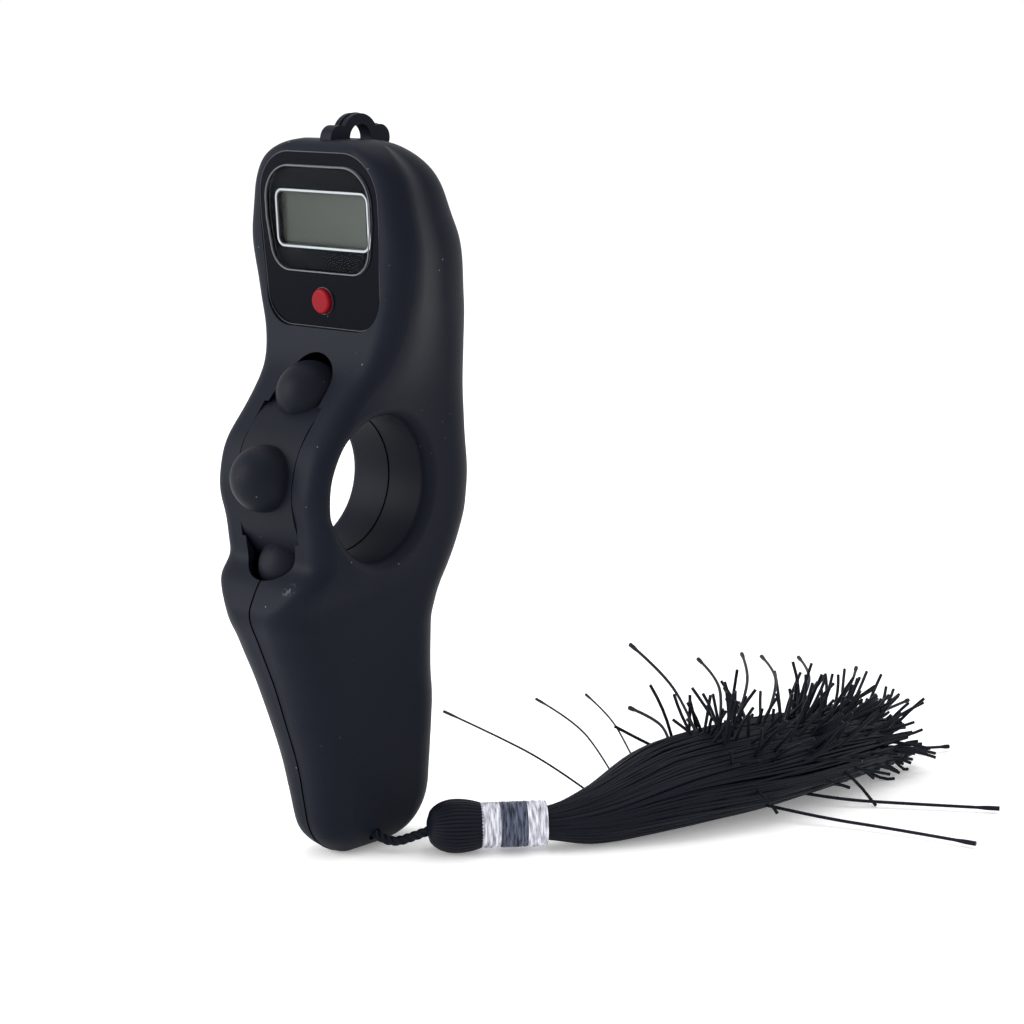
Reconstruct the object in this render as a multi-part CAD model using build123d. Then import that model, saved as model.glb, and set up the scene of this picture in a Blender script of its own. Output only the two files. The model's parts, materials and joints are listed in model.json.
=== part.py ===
from build123d import *
import math
import os

os.makedirs("parts", exist_ok=True)

# Digital tasbih counter, in millimetres.
# +Z is up, -Y is the front and X runs along the finger bore, whose centre is the origin.

# Housing
finger_bore_radius = 10.5
bore_wall = 1.2
bore_mouth_round = 1.6
upper_height = 48.9
lower_height = 55.1
front_depth = 17.2
back_depth = 22.8
half_width = 16.0
wall = 1.6
top_side_round = 8.9
top_front_round = 2.9
top_back_round = 10.5
base_side_round = 4.2
base_front_round = 5.8
base_back_round = 7.9
overrun = 1.0

# Bead wheel
rim_radius = 14.2
rim_width = 11.5
bead_radius = 4.8
bead_count = 6
bead_rest_angle = 9.0
wheel_journal_gap = 0.08
slot_side_gap = 0.15
slot_roof_gap = 0.5
bead_path_gap = 0.35
thrust_collar_width = 0.6

# Display plane in the head
display_height = 37.6
display_front = 2.96
display_tilt = 3.5
panel_seat_depth = 3.2
panel_recess = 0.15
panel_thickness = 1.5
panel_half_width = 12.0
panel_foot_half_width = 11.2
panel_top = 9.6
panel_bottom = 15.2
panel_top_round = 6.5
panel_foot_round = 4.6
panel_gap = 0.1
window_half_width = 10.6
window_foot_half_width = 9.4
window_top = 7.6
window_bottom = 7.3
window_top_round = 5.0
window_foot_round = 3.6
window_thickness = 1.0
window_proud = 0.2
window_gap = 0.08
view_half_width = 9.0
view_half_height = 3.75
view_corner_round = 0.9

# Display glass, connector and board
lcd_width = 20.4
lcd_height = 11.6
lcd_thickness = 2.0
lcd_ledge = 1.5
lcd_gap = 0.1
connector_height = 1.5
connector_width = 1.2
connector_length = 17.0
board_half_width = 10.6
board_top = 6.4
board_bottom = 17.2
board_thickness = 1.0
board_post = 1.8
chip_radius = 3.3
chip_height = 1.2
chip_across = 3.4
chip_up = 2.0

# Reset button and its switch
reset_drop = 11.4
reset_radius = 1.8
reset_proud = 0.8
reset_gap = 0.12
reset_flange_radius = 2.6
reset_flange_thickness = 0.6
reset_flange_gap = 0.05
reset_crown_round = 0.4
reset_travel = 0.5
switch_side = 3.6
switch_height = 1.5
plunger_radius = 0.8
plunger_length = 1.6
plunger_gap = 0.1

# Count contacts
leaf_thickness = 0.25
leaf_width = 2.2
leaf_across = 6.4
leaf_foot = 2.4
leaf_foot_height = 2.6
leaf_nose_radius = 0.7
leaf_nose_reach = 1.0
leaf_nose_drop = 26.0
leaf_nose_depth = 7.3
leaf_tip = 1.0
dimple_gap = 0.1
contact_across = 7.3
contact_length = 5.0

# Button cell, its contacts and its cover
cell_radius = 3.95
cell_thickness = 3.6
cell_edge_round = 0.4
cell_inner_face = 3.4
cell_back = 9.0
cell_height = 32.0
cell_gap = 0.15
cell_contact_thickness = 0.3
cell_contact_width = 3.0
cell_contact_gap = 0.05
cell_contact_foot = 2.2
cell_well_wall = 0.9
cover_radius = 5.2
cover_ear_radius = 2.3
cover_ear_rise = 7.3
cover_ear_forward = 1.0
cover_gap = 0.1
cover_seat = 9.0
cover_collar_width = 1.1
cover_collar_depth = 1.4
cover_ear_boss = 2.4

# Screws
screw_radius = 1.0
screw_gap = 0.03
screw_clearance = 0.15
screw_head_radius = 1.8
screw_head_height = 1.2
screw_head_gap = 0.15
screw_length = 8.0
screw_slot_depth = 0.5
screw_slot_width = 0.5
screw_end_gap = 0.4
boss_wall = 0.7
cover_screw_radius = 0.8
cover_screw_head_radius = 1.4
cover_screw_head_height = 0.9
cover_screw_length = 3.8
cover_screw_seat = 11.4

# Lanyard eye
lug_radius = 3.5
lug_hole_radius = 2.05
lug_thickness = 2.2
lug_lobe_radius = 1.9
lug_lobe_spread = 3.9
lug_back = 4.4

# Cord and tassel
cord_radius = 0.75
cord_hole_gap = 0.3
knot_radius = 1.9
tassel_axis_height = 4.0
tassel_bearing = 49.0
tassel_head_radius = 3.9
tassel_head_length = 7.9
tassel_head_neck = 3.0
tassel_head_crown = 1.6
tassel_flute_radius = 0.5
tassel_flutes = 18
tassel_neck_radius = 2.5
thread_radius = 0.24
thread_pitch = 0.9
binding_turns = (2, 4, 2)
binding_gap = 0.1
stray_radius = 0.3
floor_gap = 0.1

# Rows run down the housing: height, front, back, front half width, back half width,
# front rounding and back rounding. Heights are shares of the upper or lower height, depths of the
# front and back depth, widths of the half width and roundings of their own half width.
# A front of None follows the wheel's rim.
body_shares = [
    (1.000, 0.208, 0.621, 0.941, 0.810, 0.21, 0.68),
    (0.858, 0.184, 0.621, 0.941, 0.810, 0.21, 0.68),
    (0.708, 0.165, 0.781, 1.000, 0.794, 0.20, 0.70),
    (0.558, 0.139, 0.867, 0.941, 0.722, 0.21, 0.77),
    (0.472, 0.147, 0.910, 0.873, 0.652, 0.22, 0.80),
    (0.365, 0.222, 0.926, 0.780, 0.588, 0.25, 0.80),
    (0.236, 0.511, 0.953, 0.684, 0.529, 0.27, 0.84),
    (0.107, None, 0.978, 0.689, 0.513, 0.24, 0.85),
    (0.000, None, 1.000, 0.678, 0.506, 0.24, 0.85),
    (-0.095, None, 0.977, 0.667, 0.506, 0.25, 0.85),
    (-0.171, 0.752, 0.909, 0.661, 0.513, 0.28, 0.85),
    (-0.232, 0.896, 0.836, 0.640, 0.516, 0.36, 0.86),
    (-0.305, 1.000, 0.745, 0.523, 0.497, 0.62, 0.90),
    (-0.396, 0.892, 0.673, 0.516, 0.494, 0.73, 0.90),
    (-0.512, 0.735, 0.666, 0.500, 0.487, 0.78, 0.89),
    (-0.619, 0.618, 0.693, 0.458, 0.451, 0.82, 0.90),
    (-0.749, 0.483, 0.688, 0.412, 0.399, 0.80, 0.90),
    (-0.838, 0.428, 0.685, 0.360, 0.353, 0.80, 0.90),
    (-1.000, 0.329, 0.618, 0.288, 0.281, 0.80, 0.90),
]
largest_round_share = 0.92
largest_depth_share = 0.45
neck_share = 0.26
head_start_share = 0.46
end_start_share = 0.25
bend_run_share = 0.45
chip_round_share = 0.8
head_shoulder_share = 0.3
head_waist_share = 0.6
pairs_in_turn = 2
skin_step = 2.2
hollow_step = 4.5

# Screw places: back from the bore's axis as a share of the back depth, height as a share of the
# upper or lower height, head seat as a share of the half width.
screw_shares = [
    (0.285, 0.910, 0.30),
    (0.600, 0.492, 0.30),
    (0.175, -0.472, 0.25),
    (0.175, -0.800, 0.20),
]

# Routes over the floor: across, back and up from the floor under the base, in millimetres.
cord_route = [(0.0, 2.2, 5.4), (4.4, 2.5, 2.6), (7.0, 3.8, 1.9), (9.5, 5.7, 3.2), (12.2, 8.6, 4.0)]
tassel_start = (11.0, 7.3)
skirt_route = [(25.6, 27.5), (28.0, 40.0), (29.5, 56.0), (30.0, 74.0), (30.0, 92.0), (29.6, 99.0)]
skirt_half_widths = (4.6, 8.5, 11.0, 11.0, 8.5, 6.0)
skirt_half_heights = (4.4, 6.6, 7.0, 6.2, 4.4, 3.2)
stray_routes = [
    [(31.0, 60.0, 3.0), (40.0, 66.0, 1.2), (51.0, 74.0, 0.8), (62.0, 81.0, 0.8)],
    [(33.0, 52.0, 3.0), (44.0, 57.0, 1.2), (57.0, 61.5, 0.8), (69.0, 63.5, 0.8)],
    [(30.0, 84.0, 4.0), (32.0, 92.0, 2.6), (34.5, 100.0, 1.2), (36.5, 105.5, 0.8)],
    [(24.0, 30.0, 6.0), (14.0, 31.0, 9.0), (3.0, 30.5, 11.6), (-8.0, 30.0, 13.6)],
    [(25.0, 34.0, 7.0), (17.0, 39.0, 9.6), (8.0, 43.0, 12.4), (-2.0, 45.0, 13.8)],
    [(26.0, 38.0, 8.0), (18.0, 44.0, 10.0), (10.0, 49.0, 12.6), (2.0, 52.5, 13.8)],
    [(27.0, 44.0, 10.0), (23.0, 48.0, 12.0), (18.0, 50.5, 13.2), (12.0, 51.5, 13.6)],
    [(27.0, 50.0, 12.0), (21.0, 54.0, 15.6), (14.0, 56.5, 19.2), (7.0, 57.5, 22.0)],
    [(28.0, 54.0, 12.0), (24.0, 60.0, 15.0), (18.0, 66.0, 17.0), (11.0, 70.0, 18.0)],
    [(28.0, 58.0, 12.0), (24.0, 66.0, 15.2), (19.0, 73.0, 17.0), (13.0, 79.0, 17.6)],
    [(28.0, 66.0, 11.5), (24.0, 74.0, 14.2), (18.0, 81.5, 15.2), (11.0, 87.0, 15.4)],
    [(29.0, 72.0, 11.0), (26.0, 80.0, 13.6), (21.0, 87.0, 14.8), (15.0, 92.0, 15.0)],
    [(30.0, 78.0, 9.0), (29.0, 85.0, 11.6), (27.0, 91.0, 13.2), (24.0, 96.0, 14.0)],
    [(30.0, 84.0, 7.0), (31.0, 91.0, 8.0), (31.0, 97.0, 8.4), (30.5, 102.0, 8.4)],
]


def lerp(low, high, share):
    return low + (high - low) * share


def edge_drop(rise, radius):
    """How far a rounded edge of this radius has drawn in at a depth below its end."""
    if rise >= radius:
        return 0
    return radius - math.sqrt(radius**2 - (radius - rise) ** 2)


def row_height(share):
    return share * (upper_height if share > 0 else lower_height)


def row_front(row):
    height = row_height(row[0])
    if row[1] is None:
        return math.sqrt(rim_radius**2 - height**2)
    return row[1] * front_depth


def smooth_slopes(places, values):
    """Slopes of a smooth curve through the values that never overshoots them."""
    steps = [(v1 - v0) / (p1 - p0) for p0, p1, v0, v1 in zip(places, places[1:], values, values[1:])]
    slopes = [steps[0]]
    for before, after in zip(steps, steps[1:]):
        slopes.append(0 if before * after <= 0 else 2 * before * after / (before + after))
    return slopes + [steps[-1]]


def smooth_value(places, values, slopes, place):
    """The curve's value at one place, by the cubic between its two rows."""
    after = next((i for i, p in enumerate(places) if i and p >= place), len(places) - 1)
    low, high = places[after - 1], places[after]
    span = high - low
    share = (place - low) / span
    rest = 1 - share
    bend = slopes[after - 1] * rest - slopes[after] * share
    return lerp(values[after - 1], values[after], 3 * share**2 - 2 * share**3) + span * share * rest * bend


def body_columns():
    rows = sorted(body_shares)
    heights = [row_height(row[0]) for row in rows]
    fronts = [row_front(row) for row in rows]
    backs = [row[2] * back_depth for row in rows]
    front_halves = [row[3] * half_width for row in rows]
    back_halves = [row[4] * half_width for row in rows]
    front_rounds = [row[5] * row[3] * half_width for row in rows]
    back_rounds = [row[6] * row[4] * half_width for row in rows]
    return heights, [fronts, backs, front_halves, back_halves, front_rounds, back_rounds]


row_heights, row_columns = body_columns()
row_slopes = [smooth_slopes(row_heights, column) for column in row_columns]


def body_sizes(height):
    """Front, back, half widths and roundings of the housing at one height, before its ends round."""
    columns = zip(row_columns, row_slopes)
    return [smooth_value(row_heights, column, slopes, height) for column, slopes in columns]


def body_slice(height, inset):
    """One level slice of the housing, drawn in by a wall where inset is not zero."""
    front, back, front_half, back_half, front_round, back_round = body_sizes(height)
    below_top = upper_height - height - inset
    above_base = lower_height + height - inset
    head_share = (height / upper_height - neck_share) / (head_start_share - neck_share)
    head_share = min(max(head_share, 0), 1)
    front_inset = inset
    if inset:
        front_inset = lerp(inset, panel_seat_depth, 3 * head_share**2 - 2 * head_share**3)
    side_drop = edge_drop(below_top, top_side_round - inset)
    side_drop += edge_drop(above_base, base_side_round - inset)
    front_half -= inset + side_drop
    back_half -= inset + side_drop
    front -= front_inset
    front -= edge_drop(below_top, top_front_round - inset) + edge_drop(above_base, base_front_round - inset)
    back -= inset
    back -= edge_drop(below_top, top_back_round - inset) + edge_drop(above_base, base_back_round - inset)
    depth = front + back
    front_round = min(max(front_round - inset, inset / 2), front_half * largest_round_share)
    front_round = min(front_round, depth * largest_depth_share)
    back_round = min(back_round - inset, back_half * largest_round_share, depth * largest_depth_share)
    return slice_face(height, -front, back, front_half, back_half, front_round, back_round)


def slice_face(height, front, back, front_half, back_half, front_round, back_round):
    """One level slice: front and back lines, joined on each side by a swept flank with round corners."""
    pull = (back - back_round - front - front_round) / 3
    front_slack = front_round * (1 - math.sqrt(1 / 2))
    back_slack = back_round * (1 - math.sqrt(1 / 2))

    def side(sign):
        def point(x, y):
            return Vector(sign * x, y, height)

        front_end = point(front_half - front_round, front)
        front_middle = point(front_half - front_slack, front + front_slack)
        side_start = point(front_half, front + front_round)
        side_end = point(back_half, back - back_round)
        back_middle = point(back_half - back_slack, back - back_slack)
        back_end = point(back_half - back_round, back)
        return [
            ThreePointArc(front_end, front_middle, side_start),
            Bezier(side_start, side_start + (0, pull, 0), side_end - (0, pull, 0), side_end),
            ThreePointArc(side_end, back_middle, back_end),
        ]

    right = side(1)
    left = side(-1)
    front_line = Line(left[0] @ 0, right[0] @ 0)
    back_line = Line(right[-1] @ 1, left[-1] @ 1)
    return Face(Wire([front_line, *right, back_line, *left]))


def end_rises(radius, step_length):
    """Depths below a rounded end, evenly spaced along its arc."""
    count = max(2, round(radius * math.pi / 2 / step_length))
    turns = [math.pi / 2 * (step + end_start_share) / (count + end_start_share) for step in range(count)]
    return [radius * (1 - math.cos(turn)) for turn in turns]


def body_form(inset, step_length):
    """The housing's outer form, or with a wall as inset the hollow inside it."""
    top = upper_height - inset
    base = inset - lower_height
    top_round = top_side_round - inset
    base_round = base_front_round - inset
    low = base + base_round
    high = top - top_round
    count = round((high - low) / step_length)
    heights = [base + rise for rise in end_rises(base_round, step_length)]
    heights += [lerp(low, high, step / count) for step in range(count + 1)]
    heights += [top - rise for rise in reversed(end_rises(top_round, step_length))]
    return loft([body_slice(height, inset) for height in heights])


def rod(start, end, radius):
    """A round bar between two points."""
    line = Vector(*end) - Vector(*start)
    return extrude(Plane(start, z_dir=line) * Circle(radius), amount=line.length)


def across(radius, start, end, back=0, height=0):
    """A round bar along X."""
    return rod((start, back, height), (end, back, height), radius)


# Places in the display plane: across, up, and depth behind the face of the head
display_plane = Plane(
    (0, -display_front, display_height),
    x_dir=(1, 0, 0),
    z_dir=(0, -math.cos(math.radians(display_tilt)), -math.sin(math.radians(display_tilt))),
)


def slab(outline, front, back):
    """An outline in the display plane, filled from one depth to another."""
    return extrude(display_plane.offset(-back) * outline, amount=back - front)


def block(left, right, bottom, top, front, back):
    """A box in the display plane's own directions."""
    place = Pos((left + right) / 2, (bottom + top) / 2)
    return slab(place * Rectangle(right - left, top - bottom), front, back)


def shield(half, foot_half, top, bottom, top_round, foot_round, grow):
    """The panel's and the window's outline: rounded at the top, a little narrower at the foot."""
    outline = Polygon(
        (-half - grow, top + grow),
        (-half - grow, 0),
        (-foot_half - grow, -bottom - grow),
        (foot_half + grow, -bottom - grow),
        (half + grow, 0),
        (half + grow, top + grow),
        align=None,
    )
    corners = outline.vertices().sort_by(Axis.Y)
    outline = fillet(corners[-2:], top_round + grow)
    corners = outline.vertices().sort_by(Axis.Y)
    return fillet(corners[:2], foot_round + grow)


def panel_outline(grow):
    halves = (panel_half_width, panel_foot_half_width)
    return shield(*halves, panel_top, panel_bottom, panel_top_round, panel_foot_round, grow)


def window_outline(grow):
    halves = (window_half_width, window_foot_half_width)
    return shield(*halves, window_top, window_bottom, window_top_round, window_foot_round, grow)


# Depths behind the face of the head
panel_back = panel_recess + panel_thickness
window_back = window_thickness - window_proud
lcd_front = panel_back + lcd_gap
lcd_back = lcd_front + lcd_thickness
board_front = lcd_back + connector_height
board_back = board_front + board_thickness
flange_front = panel_back + reset_flange_gap
flange_back = flange_front + reset_flange_thickness
plunger_back = flange_back + plunger_length
switch_front = board_front - switch_height

# Heights and radii
floor = -lower_height
half_rim = rim_width / 2
tube_radius = finger_bore_radius + bore_wall
boss_radius = screw_head_radius + screw_head_gap + boss_wall
cell_outer_face = cell_inner_face + cell_thickness
cell_room_radius = cell_radius + cell_gap
cell_depth = cell_back + display_front
cell_drop = display_height - cell_height
tilt = math.radians(display_tilt)
cell_behind = cell_depth * math.cos(tilt) - cell_drop * math.sin(tilt)
cell_below = cell_depth * math.sin(tilt) + cell_drop * math.cos(tilt)
ear_back = cell_back - cover_ear_forward
ear_height = cell_height + cover_ear_rise


def wheel_path():
    """The room in which the rim and its beads turn."""
    slot_half = half_rim + slot_side_gap
    slot = across(rim_radius + slot_roof_gap, -slot_half, slot_half)
    bead_room = Plane.XZ * Pos(0, rim_radius) * Circle(bead_radius + bead_path_gap)
    room = slot + revolve(bead_room, Axis.X)
    return room - across(tube_radius, -half_width, half_width)


def screw_places():
    for back_share, height_share, seat_share in screw_shares:
        yield back_share * back_depth, row_height(height_share), seat_share * half_width


def lug(side):
    """One half of the lanyard eye: a round arch between two lobes."""
    outline = Circle(lug_radius)
    for place in (-lug_lobe_spread, lug_lobe_spread):
        outline += Pos(place, 0) * Circle(lug_lobe_radius)
    foot = Rectangle(4 * lug_radius, lug_radius + wall)
    outline &= Pos(0, (lug_radius - wall) / 2) * foot
    outline -= Circle(lug_hole_radius)
    face = Plane((0, lug_back, upper_height), x_dir=(0, 1, 0), z_dir=(1, 0, 0)) * outline
    return extrude(face, amount=side * lug_thickness / 2)


def board_posts(side):
    """Two posts that carry one side of the board."""
    low, high = sorted((side * board_half_width, side * (board_half_width - board_post)))
    upper = block(low, high, board_top - board_post, board_top, 0, board_front)
    lower = block(low, high, -board_bottom, board_post - board_bottom, 0, board_front)
    return [upper, lower]


def shell_blank(side, outer):
    """One half of the housing with its wall, bore tube, bosses and eye, before its cuts."""
    reach = side * half_width
    collar_start = side * (half_rim + slot_side_gap)
    room = hollow - across(tube_radius, -reach, reach)
    room -= across(tube_radius + thrust_collar_width, collar_start, reach)
    blank = outer - room
    extras = [across(boss_radius, 0, reach, back, height) for back, height, _ in screw_places()]
    for extra in extras + board_posts(side):
        blank += extra & outer
    return blank + lug(side)


def head_cuts():
    """Pocket for the panel, and the openings behind it."""
    lcd_half = lcd_width / 2 + lcd_gap
    lcd_half_height = lcd_height / 2 + lcd_gap
    seat_back = panel_seat_depth + overrun
    pocket = slab(panel_outline(panel_gap), -front_depth, panel_back)
    opening = block(-lcd_half, lcd_half, -lcd_half_height, lcd_half_height, panel_back, seat_back)
    button_room = slab(Pos(0, -reset_drop) * Circle(reset_flange_radius + reset_gap), panel_back, seat_back)
    return [pocket, opening, button_room]


def bored(form):
    """The right half of the outer form with the bore cut through it and its mouth rounded."""
    depth = front_depth + back_depth
    half = form & Pos(half_width, 0, 0) * Box(2 * half_width, 2 * depth, 2 * (upper_height + lower_height))
    half -= across(finger_bore_radius, 0, half_width)
    mouth = half.faces().filter_by(GeomType.CYLINDER)[0].edges().filter_by(GeomType.BSPLINE)
    return fillet(mouth, bore_mouth_round)


def cover_outline(grow):
    """The battery cover's outline from the side: a disc with an ear for its screw."""
    plane = Plane((0, cell_back, cell_height), x_dir=(0, -1, 0), z_dir=(-1, 0, 0))
    disc = Circle(cover_radius + grow)
    ear = Pos(cover_ear_forward, cover_ear_rise) * Circle(cover_ear_radius + grow)
    return plane * make_hull([*disc.edges(), *ear.edges()])


def cover_form(grow, start, end):
    return Pos(-start, 0, 0) * extrude(cover_outline(grow), amount=end - start)


def floor_point(place):
    """A point of a route over the floor."""
    return Vector(place[0], place[1], floor + place[2])


def tube(route, radius):
    """A round cord of straight runs joined by tangent arcs, with its bend radii."""
    points = [floor_point(place) for place in route]
    runs = [after - before for before, after in zip(points, points[1:])]
    radii = []
    for before, after in zip(runs, runs[1:]):
        half_turn = math.radians(before.get_angle(after)) / 2
        radii.append(bend_run_share * min(before.length, after.length) / math.tan(half_turn))
    path = FilletPolyline(*points, radius=radii)
    cord = sweep(Plane(points[0], z_dir=runs[0]) * Circle(radius), path=path)
    return cord, path, radii


def report_tube(name, cord, path, radii, radius):
    share = cord.volume / (math.pi * radius**2 * path.length)
    bends = [round(bend, 2) for bend in radii]
    print(name, "bend radii", bends, "volume over section times length", round(share, 4))


# Housing halves
right_outer = bored(body_form(0, skin_step))
left_outer = mirror(right_outer, about=Plane.YZ)
hollow = body_form(wall, hollow_step)
path_room = wheel_path()
panel_room = head_cuts()
cord_hole = rod(
    floor_point(cord_route[0]),
    floor_point(cord_route[0]) + 2 * (floor_point(cord_route[1]) - floor_point(cord_route[0])),
    cord_radius + cord_hole_gap,
)

right_shell = shell_blank(1, right_outer)
for cut in [path_room, *panel_room, cord_hole]:
    right_shell -= cut
for back, height, seat in screw_places():
    right_shell -= across(screw_radius + screw_gap, 0, screw_length - seat + screw_end_gap, back, height)

left_shell = shell_blank(-1, left_outer)
collar_inner = cover_seat - cover_collar_depth
collar = cover_form(cover_gap + cover_collar_width, collar_inner, half_width)
well_radius = cell_room_radius + cell_well_wall
well = across(well_radius, -collar_inner, -cell_inner_face, cell_back, cell_height)
ear_boss = across(cover_ear_radius, -cover_seat, cover_ear_boss - cover_seat, ear_back, ear_height)
plus_half = cell_contact_width / 2 + cell_gap
plus_middle = -(cell_inner_face + cell_outer_face) / 2
plus_top = -cell_below + cell_radius + cell_contact_gap
notch_sides = (plus_middle - plus_half, plus_middle + plus_half)
well_notch = block(*notch_sides, plus_top - cell_gap, cell_radius, 0, cell_behind + cell_contact_width)
room_ends = (-board_bottom - board_post, board_top + board_post)
board_room = block(-half_width, 0, *room_ends, 0, board_back + cell_gap)
cover_mount = ((collar + well + ear_boss) - board_room - well_notch) & left_outer
left_shell += cover_mount
left_shell -= cover_form(cover_gap, cover_seat, 2 * half_width)
left_shell -= across(cell_room_radius, -half_width, -cell_inner_face, cell_back, cell_height)
pilot_end = cover_screw_length - cover_screw_seat + screw_end_gap
left_shell -= across(cover_screw_radius + screw_gap, -half_width, pilot_end, ear_back, ear_height)
for cut in [path_room, *panel_room]:
    left_shell -= cut
for back, height, seat in screw_places():
    left_shell -= across(screw_radius + screw_clearance, 0, -seat, back, height)
    left_shell -= across(screw_head_radius + screw_head_gap, -seat, -half_width, back, height)
left_shell = left_shell.solids().sort_by(SortBy.VOLUME)[-1]

# Panel, window and what lies behind them
face_panel = slab(panel_outline(0), panel_recess, panel_back)
face_panel -= slab(window_outline(window_gap), 0, window_back)
view_opening = RectangleRounded(2 * view_half_width, 2 * view_half_height, view_corner_round)
face_panel -= slab(view_opening, 0, panel_back)
face_panel -= slab(Pos(0, -reset_drop) * Circle(reset_radius + reset_gap), 0, panel_back)
display_window = slab(window_outline(0), -window_proud, window_back)
lcd_cell = block(-lcd_width / 2, lcd_width / 2, -lcd_height / 2, lcd_height / 2, lcd_front, lcd_back)
connector_top = lcd_height / 2 - lcd_ledge / 2
connector_sides = (-connector_length / 2, connector_length / 2)
connector_foot = connector_top - connector_width
lcd_connector = block(*connector_sides, connector_foot, connector_top, lcd_back, board_front)
board_sides = (-board_half_width, board_half_width)
circuit_board = block(*board_sides, -board_bottom, board_top, board_front, board_back)
chip_place = Pos(chip_across, chip_up)
chip_cap = slab(chip_place * Circle(chip_radius), board_back, board_back + chip_height)
chip_cap = fillet(chip_cap.edges().sort_by(Axis.Y)[-1], chip_height * chip_round_share)

# Reset button
reset_place = Pos(0, -reset_drop)
reset_button = slab(reset_place * Circle(reset_radius), panel_recess - reset_proud, flange_front)
reset_button = fillet(reset_button.edges().sort_by(Axis.Y)[0], reset_crown_round)
reset_button += slab(reset_place * Circle(reset_flange_radius), flange_front, flange_back)
reset_plunger = slab(reset_place * Circle(plunger_radius), flange_back, plunger_back)
reset_switch = slab(reset_place * Rectangle(switch_side, switch_side), switch_front, board_front)
plunger_room = plunger_back + reset_travel + plunger_gap
reset_switch -= slab(reset_place * Circle(plunger_radius + plunger_gap), switch_front, plunger_room)

# Count leaf and its fixed contact
foot_bottom = leaf_foot_height - board_bottom
leaf_back = leaf_across + leaf_thickness
nose_across = leaf_across + leaf_thickness - leaf_nose_reach / 2
leaf_nose = display_plane * Pos(nose_across, -leaf_nose_drop, -leaf_nose_depth)
foot_back = board_back + leaf_thickness
blade_back = board_back + leaf_width
count_leaf = block(leaf_across - leaf_foot, leaf_back, -board_bottom, foot_bottom, board_back, foot_back)
blade_tip = -leaf_nose_drop - leaf_tip
count_leaf += block(leaf_across, leaf_back, blade_tip, foot_bottom, foot_back, blade_back)
nose_room = block(0, leaf_back - leaf_thickness / 2, blade_tip, foot_bottom, 0, 2 * blade_back)
count_leaf += leaf_nose * Sphere(leaf_nose_radius) & nose_room
contact_back = contact_across + leaf_thickness
contact_tip = -board_bottom - contact_length
contact_end = contact_back + leaf_foot
count_contact = block(contact_across, contact_end, -board_bottom, foot_bottom, board_back, foot_back)
count_contact += block(contact_across, contact_back, contact_tip, foot_bottom, foot_back, blade_back)

# Bead wheel
journal_radius = tube_radius + wheel_journal_gap
journal = across(journal_radius, -half_width, half_width)
bead_wheel = across(rim_radius, -half_rim, half_rim) - journal
bead_form = Pos(0, -rim_radius, 0) * Sphere(bead_radius) - journal
bead_pitch = 360 / bead_count
for bead in range(bead_count):
    bead_wheel += Rot(bead * bead_pitch - bead_rest_angle, 0, 0) * bead_form
for bead in range(bead_count):
    bead_wheel -= Rot(bead * bead_pitch, 0, 0) * leaf_nose * Sphere(leaf_nose_radius + dimple_gap)

# Button cell, its contacts and its cover
button_cell = across(cell_radius, -cell_outer_face, -cell_inner_face, cell_back, cell_height)
button_cell = fillet(button_cell.edges().filter_by(GeomType.CIRCLE), cell_edge_round)
minus_front = cell_contact_gap - cell_inner_face
minus_back = minus_front + cell_contact_thickness
minus_low = -cell_below - cell_contact_width / 2
minus_high = minus_low + cell_contact_width
blade_end = cell_behind + cell_contact_width / 2
tab_back = board_back + cell_contact_thickness
minus_end = minus_back + cell_contact_foot
cell_contact_minus = block(minus_front, minus_back, minus_low, minus_high, board_back, blade_end)
cell_contact_minus += block(minus_front, minus_end, minus_low, minus_high, board_back, tab_back)
plus_low = plus_middle - cell_contact_width / 2
plus_high = plus_middle + cell_contact_width / 2
plus_back = plus_top + cell_contact_thickness
cell_contact_plus = block(plus_low, plus_high, plus_top, plus_back, board_back, blade_end)
plus_end = plus_back + cell_contact_foot
cell_contact_plus += block(plus_low, plus_high, plus_top, plus_end, board_back, tab_back)
battery_cover = cover_form(0, cover_seat, half_width) & left_outer
plug_end = cell_outer_face + cell_contact_gap
battery_cover += across(cell_room_radius - cell_gap, -cover_seat, -plug_end, cell_back, cell_height)
battery_cover -= across(cover_screw_radius + cover_gap, -half_width, 0, ear_back, ear_height)
battery_cover -= across(
    cover_screw_head_radius + cover_gap, -half_width, -cover_screw_seat, ear_back, ear_height
)


def slotted_screw(radius, length, head_radius, head_height, seat, back, height):
    """A round-headed screw driven from the left."""
    screw = across(radius, -seat, length - seat, back, height)
    screw += across(head_radius, -seat - head_height, -seat, back, height)
    slot = Box(screw_slot_depth, screw_slot_width, 2 * head_radius)
    return screw - Pos(-seat - head_height + screw_slot_depth / 2, back, height) * slot


battery_cover_screw = slotted_screw(
    cover_screw_radius,
    cover_screw_length,
    cover_screw_head_radius,
    cover_screw_head_height,
    cover_screw_seat,
    ear_back,
    ear_height,
)
case_screws = [
    slotted_screw(screw_radius, screw_length, screw_head_radius, screw_head_height, seat, back, height)
    for back, height, seat in screw_places()
]

# Cord and knot
tassel_cord, cord_path, cord_radii = tube(cord_route, cord_radius)
report_tube("tassel_cord", tassel_cord, cord_path, cord_radii, cord_radius)
cord_knot = Pos(*floor_point(cord_route[0])) * Sphere(knot_radius)

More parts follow.
